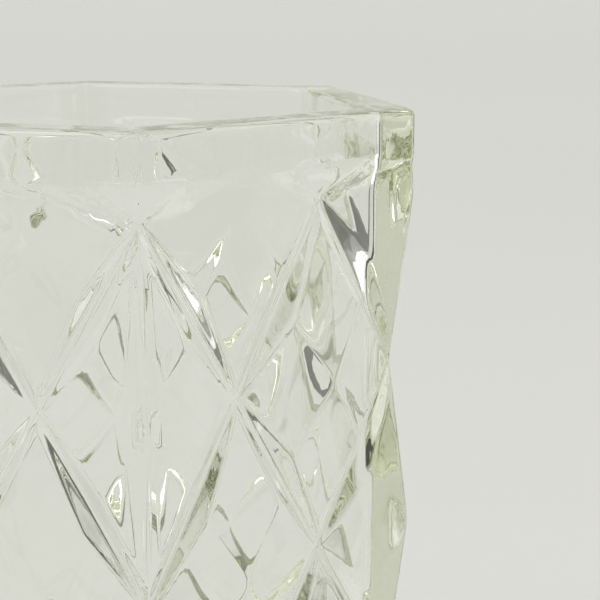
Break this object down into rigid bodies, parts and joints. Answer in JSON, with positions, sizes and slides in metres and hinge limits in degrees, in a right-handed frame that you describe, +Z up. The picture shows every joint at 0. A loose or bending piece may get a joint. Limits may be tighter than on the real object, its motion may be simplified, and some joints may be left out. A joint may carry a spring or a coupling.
{
  "type": "cut crystal vase",
  "caption": "Tall hexagonal clear crystal vase with a cut diamond lattice of V-grooves and faceted diamonds, plain rim band and heavy base.",
  "frame": {"origin": "centre of the resting plane, on the vase's axis, at the underside of the foot pads", "axes": "+Z up along the vase's axis; +X through one corner of the hexagon"},
  "size_m": [0.119, 0.104, 0.192],
  "materials": {
    "crystal_glass": "polished clear crystal, very slightly green-grey in its thickness",
    "clear_pad": "clear soft polyurethane"
  },
  "bodies": {
    "root": {"vase_glass": "crystal_glass", "foot_pad_1": "clear_pad", "foot_pad_2": "clear_pad", "foot_pad_3": "clear_pad", "foot_pad_4": "clear_pad", "foot_pad_5": "clear_pad", "foot_pad_6": "clear_pad"}
  },
  "joints": []
}
